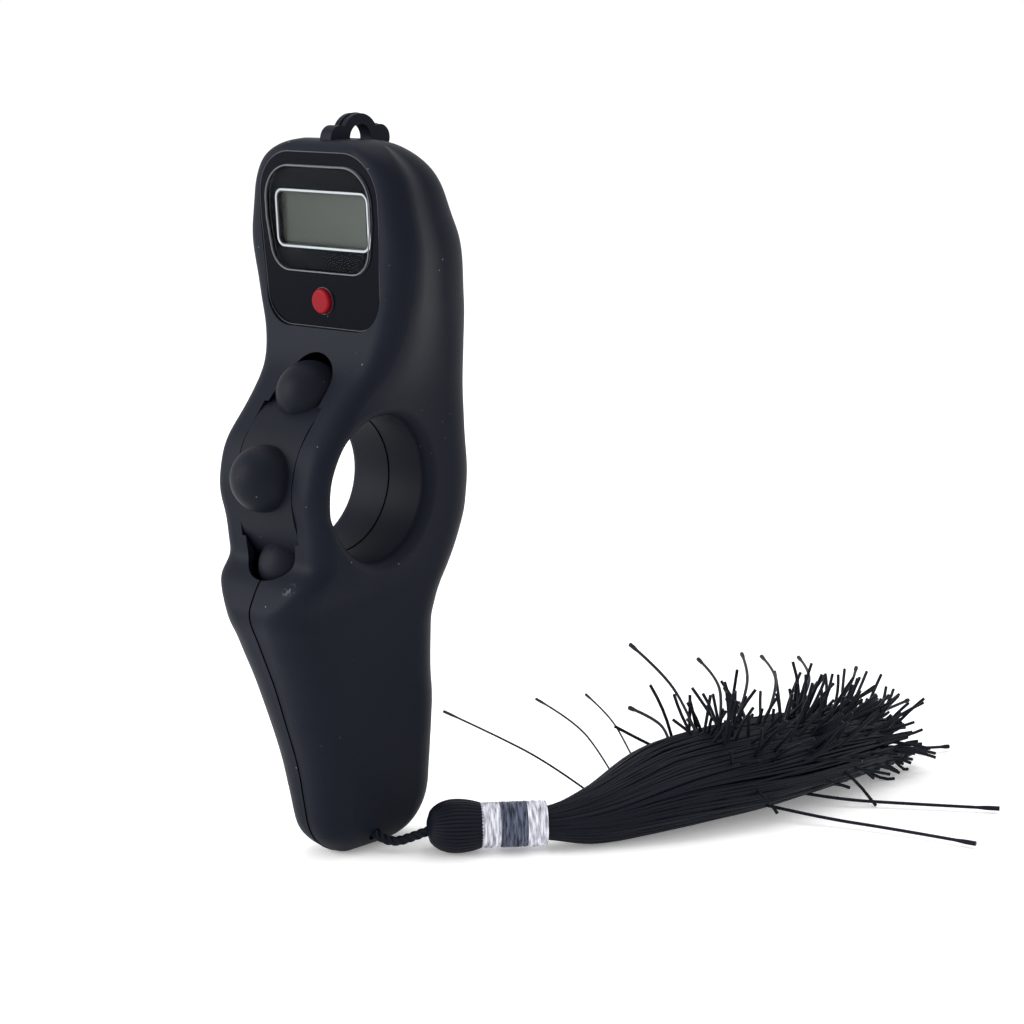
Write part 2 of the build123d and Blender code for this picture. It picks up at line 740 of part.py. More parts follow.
# Tassel: head, neck, windings and skirt
bearing = math.radians(tassel_bearing)
tassel_dir = Vector(math.cos(bearing), math.sin(bearing), 0)
tassel_origin = floor_point((*tassel_start, tassel_axis_height))
tassel_plane = Plane(tassel_origin, x_dir=(0, 0, 1), z_dir=tassel_dir)
head_profile = Polyline(
    (0, 0),
    (tassel_head_crown, 0),
    (tassel_head_radius, tassel_head_length * head_shoulder_share),
    (tassel_head_radius, tassel_head_length * head_waist_share),
    (tassel_head_neck, tassel_head_length),
    (0, tassel_head_length),
    close=True,
)
head_face = make_face(Plane.XZ * head_profile)
tassel_head = revolve(head_face, Axis.Z)
head_ridges = tassel_head.edges().filter_by(GeomType.CIRCLE).sort_by(Axis.Z)
tassel_head = fillet(head_ridges[1:3], tassel_head_crown)
for flute in range(tassel_flutes):
    groove = Pos(tassel_head_radius + tassel_flute_radius / 2, 0, 0) * Cylinder(
        tassel_flute_radius, 2 * tassel_head_length
    )
    tassel_head -= Rot(0, 0, 360 * flute / tassel_flutes) * groove
tassel_head = tassel_plane * tassel_head


def winding(start, turns):
    """One unbroken thread wound round the neck, swept on a pair of arcs for each half turn."""
    radius = tassel_neck_radius + binding_gap + thread_radius
    rise = thread_pitch / (2 * math.pi)
    arcs = []
    for pair in range(pairs_in_turn * turns):
        ends = []
        for step in (pair, pair + 1):
            turn = 2 * math.pi * step / pairs_in_turn
            place = Vector(radius * math.cos(turn), radius * math.sin(turn), start + rise * turn)
            way = Vector(-radius * math.sin(turn), radius * math.cos(turn), rise)
            ends.append((place, way.normalized()))
        (first, first_dir), (last, last_dir) = ends
        line = last - first
        both = first_dir + last_dir
        slack = 4 - both.dot(both)
        along = line.dot(both)
        reach = (math.sqrt(along**2 + slack * line.dot(line)) - along) / slack
        middle = (first + first_dir * reach + last - last_dir * reach) / 2
        arcs.append(TangentArc(first, middle, tangent=first_dir))
        arcs.append(TangentArc(middle, last, tangent=arcs[-1] % 1))
    path = Wire(arcs)
    thread = sweep(Plane(path @ 0, z_dir=path % 0) * Circle(thread_radius), path=path)
    share = thread.volume / (math.pi * thread_radius**2 * path.length)
    gap = thread_pitch * math.cos(math.atan(rise / radius)) - 2 * thread_radius
    print("winding of", turns, "turns: gap to itself", round(gap, 3), "volume share", round(share, 4))
    return tassel_plane * thread


bindings = []
band_start = tassel_head_length + binding_gap + thread_radius
for turns in binding_turns:
    bindings.append(winding(band_start, turns))
    band_start += turns * thread_pitch + 2 * thread_radius + binding_gap
neck_end = band_start - thread_radius
neck_point = tassel_origin + tassel_dir * neck_end
skirt_points = [neck_point]
for place, half in zip(skirt_route, skirt_half_heights):
    skirt_points.append(floor_point((*place, half + floor_gap)))
skirt_rings = [Plane(neck_point, x_dir=(0, 0, 1), z_dir=tassel_dir) * Circle(tassel_neck_radius)]
next_points = skirt_points[2:] + skirt_points[-1:]
skirt_halves = zip(skirt_half_widths, skirt_half_heights)
skirt_stations = zip(skirt_points, skirt_points[1:], next_points, skirt_halves)
for before, point, after, (half, half_height) in skirt_stations:
    way = after - before
    ring = Plane(point, x_dir=(0, 0, 1), z_dir=(way.X, way.Y, 0))
    skirt_rings.append(ring * Ellipse(half_height, half))
tassel_skirt = loft(skirt_rings)
tassel_skirt += rod(tassel_origin + tassel_dir * tassel_head_length, neck_point, tassel_neck_radius)

strays = []
for route in stray_routes:
    stray, stray_path, stray_radii = tube(route, stray_radius)
    report_tube("stray", stray, stray_path, stray_radii, stray_radius)
    strays.append(stray)

nodes = {
    "right_shell": [right_shell],
    "left_shell": [left_shell],
    "face_panel": [face_panel],
    "display_window": [display_window],
    "lcd_cell": [lcd_cell],
    "lcd_connector": [lcd_connector],
    "circuit_board": [circuit_board],
    "chip_cap": [chip_cap],
    "reset_button": [reset_button],
    "reset_plunger": [reset_plunger],
    "reset_switch": [reset_switch],
    "bead_wheel": [bead_wheel],
    "count_leaf": [count_leaf],
    "count_contact": [count_contact],
    "button_cell": [button_cell],
    "cell_contact_plus": [cell_contact_plus],
    "cell_contact_minus": [cell_contact_minus],
    "battery_cover": [battery_cover],
    "battery_cover_screw": [battery_cover_screw],
    "case_screws": case_screws,
    "cord_knot": [cord_knot],
    "tassel_cord": [tassel_cord],
    "tassel_head": [tassel_head],
    "binding_upper": [bindings[0]],
    "binding_middle": [bindings[1]],
    "binding_lower": [bindings[2]],
    "tassel_skirt": [tassel_skirt],
    "tassel_strays": strays,
}
for name, pieces in nodes.items():
    solids = [solid for piece in pieces for solid in piece.solids()]
    volume = sum(solid.volume for solid in solids)
    print(name, len(solids), "solids", all(solid.is_valid for solid in solids), round(volume, 1))
    export_step(solids[0] if len(solids) == 1 else Compound(children=solids), "parts/" + name + ".step")
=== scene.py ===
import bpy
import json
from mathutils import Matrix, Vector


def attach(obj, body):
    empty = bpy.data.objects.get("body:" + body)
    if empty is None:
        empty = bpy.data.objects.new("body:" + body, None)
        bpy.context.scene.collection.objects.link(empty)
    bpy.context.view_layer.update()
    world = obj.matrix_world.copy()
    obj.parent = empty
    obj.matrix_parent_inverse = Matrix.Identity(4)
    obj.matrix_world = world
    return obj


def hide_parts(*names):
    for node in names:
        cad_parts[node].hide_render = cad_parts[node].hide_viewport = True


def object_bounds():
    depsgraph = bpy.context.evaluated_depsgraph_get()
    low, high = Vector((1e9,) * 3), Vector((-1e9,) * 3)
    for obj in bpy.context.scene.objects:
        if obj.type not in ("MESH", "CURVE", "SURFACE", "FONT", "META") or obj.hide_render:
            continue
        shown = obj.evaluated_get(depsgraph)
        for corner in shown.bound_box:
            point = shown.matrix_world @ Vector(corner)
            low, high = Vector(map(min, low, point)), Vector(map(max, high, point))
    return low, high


bl_info = {
    "name": "Bead counter looks",
    "version": (1, 0, 0),
    "blender": (4, 5, 0),
    "location": "View3D > Sidebar > Counter",
    "description": "Finishes the packed bead counter: materials, print, seam, cord, tassel and stage",
    "category": "Object",
}

import json
import math
import random

import bmesh
import bpy
from mathutils import Matrix, Vector
from mathutils.bvhtree import BVHTree

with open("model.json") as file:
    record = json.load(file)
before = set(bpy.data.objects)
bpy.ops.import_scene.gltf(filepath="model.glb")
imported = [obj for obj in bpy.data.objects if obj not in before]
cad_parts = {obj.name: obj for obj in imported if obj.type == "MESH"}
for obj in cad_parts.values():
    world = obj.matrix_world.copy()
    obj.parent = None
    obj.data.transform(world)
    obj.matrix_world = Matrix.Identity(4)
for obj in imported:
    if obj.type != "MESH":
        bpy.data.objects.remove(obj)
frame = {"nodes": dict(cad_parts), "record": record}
cad_low, cad_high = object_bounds()

# One millimetre, and the floor under the base
MM = 0.001
FLOOR = cad_low[2]

# Display plane of the head, in millimetres: place, tilt and the printed frame line on the window's back
DISPLAY_PLACE = (0.0, -2.96, 37.6)
DISPLAY_TILT = 3.5
PRINT_DEPTH = 0.76
PRINT_HALF_WIDTH = 9.45
PRINT_HALF_HEIGHT = 4.15
PRINT_LINE = 0.3
PRINT_ROUND = 1.4
PRINT_CORNER_STEPS = 8

# Thin lines on the housing, in millimetres: painted highlights along the rims of the window and the
# panel, and the parting line
RIM_HIGHLIGHT_RADIUS = 0.1
LINE_SIDES = 6
MERGE_GAP = 0.002
FACING_SHARE = 0.95
RIM_TURN_SHARE = 0.6
SEAM_TURN_SHARE = 0.9
SEAM_RADIUS = 0.11
SEAM_NEAR = 0.01
SEAM_STEP = 0.3
SEAM_FRONT = 1.0
SEAM_TOP = 10.0
BORE_RADIUS = 10.5
WHEEL_RADIUS = 14.2

# Marks and textures: places in millimetres, scales in features to the metre
DUST_SCALE = 640
DUST_PATCH_SCALE = 900
DUST_CORE_SHARE = 0.03
DUST_EDGE_SHARE = 0.085
DUST_CHANCE_SHARE = 0.58
DUST_TONE = (0.2, 0.21, 0.23)
GRAIN_SCALE = 5200
CLOUD_SCALE = 60
FIBRE_SCALE = 2600
FIBRE_STRETCH = (1, 6, 6)
FIBRE_SHARES = (0.36, 0.64)
SCUFF_PLACE = (6.2, -15.4, -12.6)
SCUFF_REACH = 1.35
SCUFF_SCALE = 1500
SCUFF_SHARES = (0.5, 0.6)
SCUFF_TONE = (0.085, 0.09, 0.1)

# Cord, in millimetres: across, back and up from the floor
CORD_ROUTE = [(0.0, 2.2, 5.4), (4.4, 2.5, 2.6), (7.0, 3.8, 1.5), (9.5, 5.7, 2.6), (12.2, 8.6, 4.0)]
CORD_STEP = 0.3
CORD_SIDES = 10
STRANDS = 3
STRAND_LAY_SHARE = 0.88
HEAD_ENTRY_SHARES = (0.2, 1.0)
KNOT_SIZE = 0.42
KNOT_STEPS = 96

# Tassel's head and bands, in millimetres
TASSEL_START = (11.0, 7.3, 4.0)
TASSEL_BEARING = 49.0
HEAD_LENGTH = 7.9
HEAD_SWELL = 3.65
HEAD_MOUTH = 0.9
HEAD_END = 2.9
HEAD_MIDDLE_SHARE = 0.5
HEAD_STEPS = 18
RIB_RADIUS = 0.34
FLOSS_SIDES = 8
BAND_TURNS = (2, 4, 2)
BAND_PITCH = 0.9
BAND_THREAD = 0.24
BAND_GAP = 0.1
FLOSS_RADIUS = 0.13
FLOSS_PITCH = 0.17
FLOSS_REACH = 3.25
FLOSS_WANDER = 0.06
FLOSS_EDGES = (-0.3, 2.55, 6.45, 9.45)
FLOSS_STEPS = 32

# Skirt, in millimetres: its axis over the floor, its half sizes, and how its threads lie in it
NECK_RADIUS = 2.5
SKIRT_ROUTE = [(25.6, 27.5), (28.0, 40.0), (29.5, 56.0), (30.0, 74.0), (30.0, 92.0), (29.6, 99.0)]
SKIRT_HALF_WIDTHS = (4.6, 8.5, 11.0, 11.0, 8.5, 6.0)
SKIRT_HALF_HEIGHTS = (4.4, 6.3, 6.4, 5.7, 4.2, 3.2)
SKIRT_SIDES = 5
THREAD_STEPS = 34
WAY_STEP = 0.05
CORE_SHARE = 0.1
INNER_SHARE = 0.3
INNER_DEPTHS = (0.5, 4.5)
OUTER_DEPTHS = (0, 0.5)
SWAYS = (-0.55, 0.55)
SWINGS = (0.4, 1.1)
SWING_REACH = 0.2
SHORT_SHARE = 0.22
SHORT_END_SHARES = (0.62, 0.77)
LONG_END_SHARES = (0.77, 0.85)
END_SPLAYS = (-0.35, 0.6)
END_REACHES = (1.0, 5.0)
END_SHARES = (0.35, 0.7, 1.0)

# Short tips that stand out of the skirt, in millimetres and degrees
TIP_PLACE_SHARES = (0.5, 0.84)
TIP_TURN = 100
TIP_TURN_SPREAD = 45
TIP_DEPTH = 2.0
TIP_LIFTS = (0.35, 1.0)
TIP_ALONGS = (0.1, 1.5)
TIP_ALONG_START_SHARE = 0.55
TIP_ALONG_SPAN_SHARE = 0.45
TIP_ALONG_WANDER = (-0.35, 0.35)
TIP_SIDEWAYS = (-0.45, 0.45)
TIP_BENDS = (-0.5, 0.5)
TIP_BEND_SHARE = 0.4
TIP_LENGTHS = (4.0, 11.0)
TIP_STEPS = 5

# Stray threads, in millimetres: across, back and up from the floor; those that end far left are finer
STRAY_SIDES = 6
STRAY_FINE_END = 3
STRAY_FINE_SHARE = 0.6
STRAY_FULL_SHARE = 0.95
STRAY_END_SWELL = 1.45
STRAY_END_POINTS = 2
STRAY_ROUTES = [
    [(31.0, 60.0, 3.0), (40.0, 66.0, 1.2), (51.0, 74.0, 0.8), (62.0, 81.0, 0.8)],
    [(33.0, 52.0, 3.0), (44.0, 57.0, 1.2), (57.0, 61.5, 0.8), (69.0, 63.5, 0.8)],
    [(30.0, 84.0, 4.0), (32.0, 92.0, 2.6), (34.5, 100.0, 1.2), (36.5, 105.5, 0.8)],
    [(24.0, 30.0, 6.0), (14.0, 31.0, 9.0), (3.0, 30.5, 11.6), (-8.0, 30.0, 13.6)],
    [(25.0, 34.0, 7.0), (17.0, 39.0, 9.6), (8.0, 43.0, 12.4), (-2.0, 45.0, 13.8)],
    [(26.0, 38.0, 8.0), (18.0, 44.0, 10.0), (10.0, 49.0, 12.6), (2.0, 52.5, 13.8)],
    [(27.0, 44.0, 10.0), (23.0, 48.0, 12.0), (18.0, 50.5, 13.2), (12.0, 51.5, 13.6)],
    [(27.0, 50.0, 12.0), (21.0, 54.0, 15.6), (14.0, 56.5, 19.2), (7.0, 57.5, 22.0)],
    [(28.0, 54.0, 12.0), (24.0, 60.0, 15.0), (18.0, 66.0, 17.0), (11.0, 70.0, 18.0)],
    [(28.0, 58.0, 12.0), (24.0, 66.0, 15.2), (19.0, 73.0, 17.0), (13.0, 79.0, 17.6)],
    [(28.0, 66.0, 11.5), (24.0, 74.0, 14.2), (18.0, 81.5, 15.2), (11.0, 87.0, 15.4)],
    [(29.0, 72.0, 11.0), (26.0, 80.0, 13.6), (21.0, 87.0, 14.8), (15.0, 92.0, 15.0)],
    [(30.0, 78.0, 9.0), (29.0, 85.0, 11.6), (27.0, 91.0, 13.2), (24.0, 96.0, 14.0)],
    [(30.0, 84.0, 7.0), (31.0, 91.0, 8.0), (31.0, 97.0, 8.4), (30.5, 102.0, 8.4)],
]


# Stage, in metres and watts: floor, lights by place, size and power, and camera
FLOOR_SIZE = 3.0
FLOOR_TONE = (0.9, 0.9, 0.9)
FLOOR_GLOW = 0.2
LIGHTS = {
    "key": ((-0.42, -0.55, 0.2), 0.5, 5.0),
    "top": ((-0.1, 0.1, 0.75), 0.6, 2.0),
}
SENSOR_WIDTH = 36.0
CLIP_START = 0.01

# Materials: slot, name, darker tone, lighter tone, roughness, metal and gloss
MOULDED = [
    ("seam", "seam_shadow", (0.0002, 0.0002, 0.0003), (0.0006, 0.0006, 0.0009), 0.9, 0.0, 0.0),
    # Lighter lines along the front edges of the window and the panel: painted highlights
    ("rim", "window_rim", (0.085, 0.09, 0.105), (0.12, 0.126, 0.142), 0.3, 0.0, 0.3),
    ("edge", "panel_edge", (0.012, 0.013, 0.018), (0.02, 0.022, 0.029), 0.3, 0.0, 0.3),
    ("print", "white_print", (0.42, 0.44, 0.46), (0.5, 0.52, 0.54), 0.5, 0.0, 0.3),
    ("red_cap", "red_cap", (0.165, 0.0025, 0.0065), (0.2, 0.004, 0.009), 0.3, 0.0, 0.06),
    ("elastomer", "elastomer", (0.5, 0.46, 0.42), (0.56, 0.5, 0.45), 0.7, 0.0, 0.3),
    ("board", "green_board", (0.02, 0.12, 0.05), (0.03, 0.15, 0.06), 0.4, 0.0, 0.3),
    ("resin", "black_resin", (0.008, 0.008, 0.009), (0.012, 0.012, 0.013), 0.25, 0.0, 0.3),
    ("switch", "switch_black", (0.02, 0.02, 0.022), (0.03, 0.03, 0.03), 0.45, 0.0, 0.3),
    ("contact", "spring_brass", (0.75, 0.58, 0.28), (0.82, 0.66, 0.36), 0.25, 1.0, 0.3),
    ("cell", "cell_steel", (0.62, 0.63, 0.64), (0.72, 0.72, 0.73), 0.25, 1.0, 0.3),
    ("screw", "screw_steel", (0.4, 0.41, 0.43), (0.5, 0.5, 0.52), 0.32, 1.0, 0.3),
]

# Threads: slot, name, darker tone, lighter tone, gloss and the output of the grain that varies the tone
THREADS = [
    ("cord", "black_thread", (0.0045, 0.0055, 0.0098), (0.0092, 0.0107, 0.017), 0.08, "Cloud"),
    ("white_thread", "white_floss", (0.26, 0.265, 0.32), (0.84, 0.85, 0.92), 0.15, "Fibre"),
    ("blue_thread", "blue_floss", (0.015, 0.018, 0.03), (0.13, 0.147, 0.215), 0.15, "Fibre"),
]


class TasselSettings(bpy.types.PropertyGroup):
    thread_count: bpy.props.IntProperty(
        name="Threads", description="Threads in the skirt", default=360, min=50
    )
    tip_count: bpy.props.IntProperty(
        name="Tips", description="Short ends that stand out of the skirt", default=170
    )
    thread_radius: bpy.props.FloatProperty(
        name="Thread radius",
        description="Half the thickness of one thread",
        default=0.27 * MM,
        unit="LENGTH",
    )
    strand_radius: bpy.props.FloatProperty(
        name="Strand radius",
        description="Half the thickness of one strand of the cord",
        default=0.4 * MM,
        unit="LENGTH",
    )
    strand_pitch: bpy.props.FloatProperty(
        name="Strand pitch",
        description="Length of one turn of the cord's twist",
        default=3.4 * MM,
        unit="LENGTH",
    )
    head_ribs: bpy.props.IntProperty(
        name="Head ribs", description="Threads that wrap the head", default=40, min=8
    )
    seed: bpy.props.IntProperty(name="Seed", description="Start of the threads' scatter", default=7)


class StageSettings(bpy.types.PropertyGroup):
    azimuth: bpy.props.FloatProperty(
        name="Azimuth",
        description="Camera's turn round the counter",
        default=math.radians(42.741),
        subtype="ANGLE",
    )
    elevation: bpy.props.FloatProperty(
        name="Elevation",
        description="Camera's angle above level",
        default=math.radians(10.6),
        subtype="ANGLE",
    )
    distance: bpy.props.FloatProperty(
        name="Distance", description="Camera's distance from the bore", default=378.0 * MM, unit="LENGTH"
    )
    aside: bpy.props.FloatProperty(
        name="Aside",
        description="Camera's place to the right of the bore",
        default=25.226 * MM,
        unit="LENGTH",
    )
    below: bpy.props.FloatProperty(
        name="Below", description="Camera's place below the bore", default=4.397 * MM, unit="LENGTH"
    )
    lens: bpy.props.FloatProperty(name="Lens", description="Focal length in millimetres", default=92.26)


def floor_point(place):
    """A point of a route over the floor, in metres."""
    return Vector((place[0] * MM, place[1] * MM, FLOOR + place[2] * MM))


def mix(low, high, share):
    return low + (high - low) * share


def smooth_between(values, place):
    """A value on the smooth line through evenly spaced values."""
    index = min(int(place), len(values) - 2)
    share = place - index
    first, second = values[index], values[index + 1]
    before = values[max(index - 1, 0)]
    after = values[min(index + 2, len(values) - 1)]
    bend = before * 2 - first * 5 + second * 4 - after
    twist = first * 3 - before - second * 3 + after
    return first + ((second - before) + (bend + twist * share) * share) * (share / 2)


# Materials


def new_material(name, colour, roughness, specular=0.3):
    """A material with its shader, ready for more nodes."""
    material = bpy.data.materials.new(name)
    material.use_nodes = True
    shader = material.node_tree.nodes["Principled BSDF"]
    shader.inputs["Base Color"].default_value = (*colour, 1)
    shader.inputs["Roughness"].default_value = roughness
    shader.inputs["Specular IOR Level"].default_value = specular
    return material, shader


def effect_group(name, outputs):
    """An empty shader group with a coordinate input and value outputs."""
    group = bpy.data.node_groups.new(name, "ShaderNodeTree")
    group.interface.new_socket("Vector", in_out="INPUT", socket_type="NodeSocketVector")
    for output in outputs:
        group.interface.new_socket(output, in_out="OUTPUT", socket_type="NodeSocketFloat")
    return group, group.nodes.new("NodeGroupInput"), group.nodes.new("NodeGroupOutput")


def dust_group():
    """Sparse pale dust specks on dark plastic."""
    group, start, end = effect_group("Dust specks", ["Amount"])
    cells = group.nodes.new("ShaderNodeTexVoronoi")
    cells.inputs["Scale"].default_value = DUST_SCALE
    ramp = group.nodes.new("ShaderNodeValToRGB")
    ramp.color_ramp.elements[0].position = DUST_CORE_SHARE
    ramp.color_ramp.elements[0].color = (1, 1, 1, 1)
    ramp.color_ramp.elements[1].position = DUST_EDGE_SHARE
    ramp.color_ramp.elements[1].color = (0, 0, 0, 1)
    patches = group.nodes.new("ShaderNodeTexNoise")
    patches.inputs["Scale"].default_value = DUST_PATCH_SCALE
    sparse = group.nodes.new("ShaderNodeMath")
    sparse.operation = "GREATER_THAN"
    sparse.inputs[1].default_value = DUST_CHANCE_SHARE
    both = group.nodes.new("ShaderNodeMath")
    both.operation = "MULTIPLY"
    chance = group.nodes.new("ShaderNodeSeparateColor")
    uneven = group.nodes.new("ShaderNodeMath")
    uneven.operation = "MULTIPLY"
    links = group.links
    links.new(cells.outputs["Color"], chance.inputs["Color"])
    links.new(chance.outputs["Red"], uneven.inputs[1])
    links.new(both.outputs["Value"], uneven.inputs[0])
    links.new(start.outputs["Vector"], cells.inputs["Vector"])
    links.new(start.outputs["Vector"], patches.inputs["Vector"])
    links.new(cells.outputs["Distance"], ramp.inputs["Fac"])
    links.new(patches.outputs["Fac"], sparse.inputs[0])
    links.new(ramp.outputs["Color"], both.inputs[0])
    links.new(sparse.outputs["Value"], both.inputs[1])
    links.new(uneven.outputs["Value"], end.inputs["Amount"])
    return group


def grain_group():
    """Fine moulded grain with slow clouding, and fibres round the tassel's axis."""
    group, start, end = effect_group("Moulded grain", ["Grain", "Cloud", "Fibre"])
    grain = group.nodes.new("ShaderNodeTexNoise")
    grain.inputs["Scale"].default_value = GRAIN_SCALE
    grain.inputs["Detail"].default_value = 3
    cloud = group.nodes.new("ShaderNodeTexNoise")
    cloud.inputs["Scale"].default_value = CLOUD_SCALE
    cloud.inputs["Detail"].default_value = 4
    fibre = group.nodes.new("ShaderNodeTexNoise")
    fibre.inputs["Scale"].default_value = FIBRE_SCALE
    fibre.inputs["Detail"].default_value = 3
    along = group.nodes.new("ShaderNodeMapping")
    along.vector_type = "TEXTURE"
    along.inputs["Rotation"].default_value = (0, 0, math.radians(TASSEL_BEARING))
    along.inputs["Scale"].default_value = FIBRE_STRETCH
    strong = group.nodes.new("ShaderNodeMapRange")
    strong.inputs["From Min"].default_value = FIBRE_SHARES[0]
    strong.inputs["From Max"].default_value = FIBRE_SHARES[1]
    links = group.links
    links.new(start.outputs["Vector"], along.inputs["Vector"])
    links.new(along.outputs["Vector"], fibre.inputs["Vector"])
    links.new(fibre.outputs["Fac"], strong.inputs["Value"])
    links.new(strong.outputs["Result"], end.inputs["Fibre"])
    links.new(start.outputs["Vector"], grain.inputs["Vector"])
    links.new(start.outputs["Vector"], cloud.inputs["Vector"])
    links.new(grain.outputs["Fac"], end.inputs["Grain"])
    links.new(cloud.outputs["Fac"], end.inputs["Cloud"])
    return group


def scuff_group():
    """A small rubbed patch on the lip under the beads."""
    group, start, end = effect_group("Rubbed patch", ["Amount"])
    away = group.nodes.new("ShaderNodeVectorMath")
    away.operation = "DISTANCE"
    away.inputs[1].default_value = Vector(SCUFF_PLACE) * MM
    near = group.nodes.new("ShaderNodeMapRange")
    near.inputs["From Min"].default_value = 0
    near.inputs["From Max"].default_value = SCUFF_REACH * MM
    near.inputs["To Min"].default_value = 1
    near.inputs["To Max"].default_value = 0
    broken = group.nodes.new("ShaderNodeTexNoise")
    broken.inputs["Scale"].default_value = SCUFF_SCALE
    broken.inputs["Detail"].default_value = 4
    rubbed = group.nodes.new("ShaderNodeMapRange")
    rubbed.inputs["From Min"].default_value = SCUFF_SHARES[0]
    rubbed.inputs["From Max"].default_value = SCUFF_SHARES[1]
    both = group.nodes.new("ShaderNodeMath")
    both.operation = "MULTIPLY"
    links = group.links
    links.new(start.outputs["Vector"], away.inputs[0])
    links.new(start.outputs["Vector"], broken.inputs["Vector"])
    links.new(away.outputs["Value"], near.inputs["Value"])
    links.new(broken.outputs["Fac"], rubbed.inputs["Value"])
    links.new(near.outputs["Result"], both.inputs[0])
    links.new(rubbed.outputs["Result"], both.inputs[1])
    links.new(both.outputs["Value"], end.inputs["Amount"])
    return group


def add_group(material, group):
    """One use of an effect group, on the object's own coordinates."""
    nodes = material.node_tree.nodes
    place = nodes.new("ShaderNodeTexCoord")
    use = nodes.new("ShaderNodeGroup")
    use.node_tree = group
    material.node_tree.links.new(place.outputs["Object"], use.inputs["Vector"])
    return use


def blend_colour(material, factor, low, high):
    """A colour between two, by a value from another node."""
    node = material.node_tree.nodes.new("ShaderNodeMix")
    node.data_type = "RGBA"
    node.inputs["A"].default_value = (*low, 1)
    node.inputs["B"].default_value = (*high, 1)
    material.node_tree.links.new(factor, node.inputs["Factor"])
    return node


def add_bump(material, shader, height, strength, distance):
    bump = material.node_tree.nodes.new("ShaderNodeBump")
    bump.inputs["Strength"].default_value = strength
    bump.inputs["Distance"].default_value = distance
    material.node_tree.links.new(height, bump.inputs["Height"])
    material.node_tree.links.new(bump.outputs["Normal"], shader.inputs["Normal"])


def vary_roughness(material, shader, factor, low, high):
    node = material.node_tree.nodes.new("ShaderNodeMapRange")
    node.inputs["To Min"].default_value = low
    node.inputs["To Max"].default_value = high
    material.node_tree.links.new(factor, node.inputs["Value"])
    material.node_tree.links.new(node.outputs["Result"], shader.inputs["Roughness"])


def soft_plastic(name, low, high, roughness, specular, grain, marks):
    """Dark plastic with fine grain, and marks that each lay a colour over it."""
    material, shader = new_material(name, low, roughness, specular)
    texture = add_group(material, grain)
    tone = blend_colour(material, texture.outputs["Cloud"], low, high)
    links = material.node_tree.links
    for group, colour in marks:
        mark = add_group(material, group)
        marked = blend_colour(material, mark.outputs["Amount"], low, colour)
        links.new(tone.outputs["Result"], marked.inputs["A"])
        tone = marked
    links.new(tone.outputs["Result"], shader.inputs["Base Color"])
    vary_roughness(material, shader, texture.outputs["Cloud"], roughness * 0.88, roughness * 1.12)
    add_bump(material, shader, texture.outputs["Grain"], 0.12, 0.02 * MM)
    return material


def plain_moulded(name, low, high, roughness, metallic, specular, grain):
    """A small moulded or pressed piece with slight clouding."""
    material, shader = new_material(name, low, roughness, specular)
    shader.inputs["Metallic"].default_value = metallic
    texture = add_group(material, grain)
    tone = blend_colour(material, texture.outputs["Cloud"], low, high)
    material.node_tree.links.new(tone.outputs["Result"], shader.inputs["Base Color"])
    vary_roughness(material, shader, texture.outputs["Cloud"], roughness * 0.8, roughness * 1.2)
    return material


def thread_material(name, low, high, specular, pattern, grain):
    """Silky thread with a fine twist in its surface, its tone varied by one output of the grain."""
    material, shader = new_material(name, low, 0.42, specular)
    texture = add_group(material, grain)
    tone = blend_colour(material, texture.outputs[pattern], low, high)
    material.node_tree.links.new(tone.outputs["Result"], shader.inputs["Base Color"])
    add_bump(material, shader, texture.outputs["Grain"], 0.4, 0.05 * MM)
    return material


def clear_window(grain):
    material, shader = new_material("clear_window", (0.92, 0.94, 0.94), 0.04)
    shader.inputs["Transmission Weight"].default_value = 1.0
    shader.inputs["IOR"].default_value = 1.08
    texture = add_group(material, grain)
    vary_roughness(material, shader, texture.outputs["Cloud"], 0.02, 0.06)
    return material


def display_glass(grain):
    """Grey-green display, with painted shade from the window's frame that darkens it towards its left
    edge.
    """
    material, shader = new_material("display_grey", (0.1, 0.11, 0.1), 0.35, 0.05)
    texture = add_group(material, grain)
    nodes, links = material.node_tree.nodes, material.node_tree.links
    place = nodes.new("ShaderNodeTexCoord")
    parts = nodes.new("ShaderNodeSeparateXYZ")
    shade = nodes.new("ShaderNodeMapRange")
    shade.inputs["From Min"].default_value = -PRINT_HALF_WIDTH * MM
    shade.inputs["From Max"].default_value = PRINT_HALF_WIDTH * MM
    # Painted shade: darker at the left, standing in for the window frame's shadow on the display
    tone = blend_colour(material, shade.outputs["Result"], (0.052, 0.057, 0.05), (0.075, 0.083, 0.075))
    links.new(place.outputs["Object"], parts.inputs["Vector"])
    links.new(parts.outputs["X"], shade.inputs["Value"])
    links.new(tone.outputs["Result"], shader.inputs["Base Color"])
    vary_roughness(material, shader, texture.outputs["Cloud"], 0.28, 0.4)
    return material


def make_materials():
    """All materials by slot."""
    grain = grain_group()
    dust = (dust_group(), DUST_TONE)
    scuff = (scuff_group(), SCUFF_TONE)
    soft = (0.5, 0.06)
    gloss = (0.12, 0.02)
    housing = ("soft_black", (0.006, 0.0073, 0.013), (0.007, 0.0084, 0.0146), *soft)
    wheel = ("wheel_black", (0.006, 0.0072, 0.0118), (0.0068, 0.0081, 0.013), *soft)
    panel = ("gloss_black", (0.0022, 0.0028, 0.0052), (0.0028, 0.0035, 0.0062), *gloss)
    materials = {
        "housing": soft_plastic(*housing, grain, [dust, scuff]),
        "wheel": soft_plastic(*wheel, grain, [dust]),
        "panel": soft_plastic(*panel, grain, [dust]),
        "window": clear_window(grain),
        "display": display_glass(grain),
    }
    for slot, *look in MOULDED:
        materials[slot] = plain_moulded(*look, grain)
    for slot, *look in THREADS:
        materials[slot] = thread_material(*look, grain)
    return materials


# Threads and cords


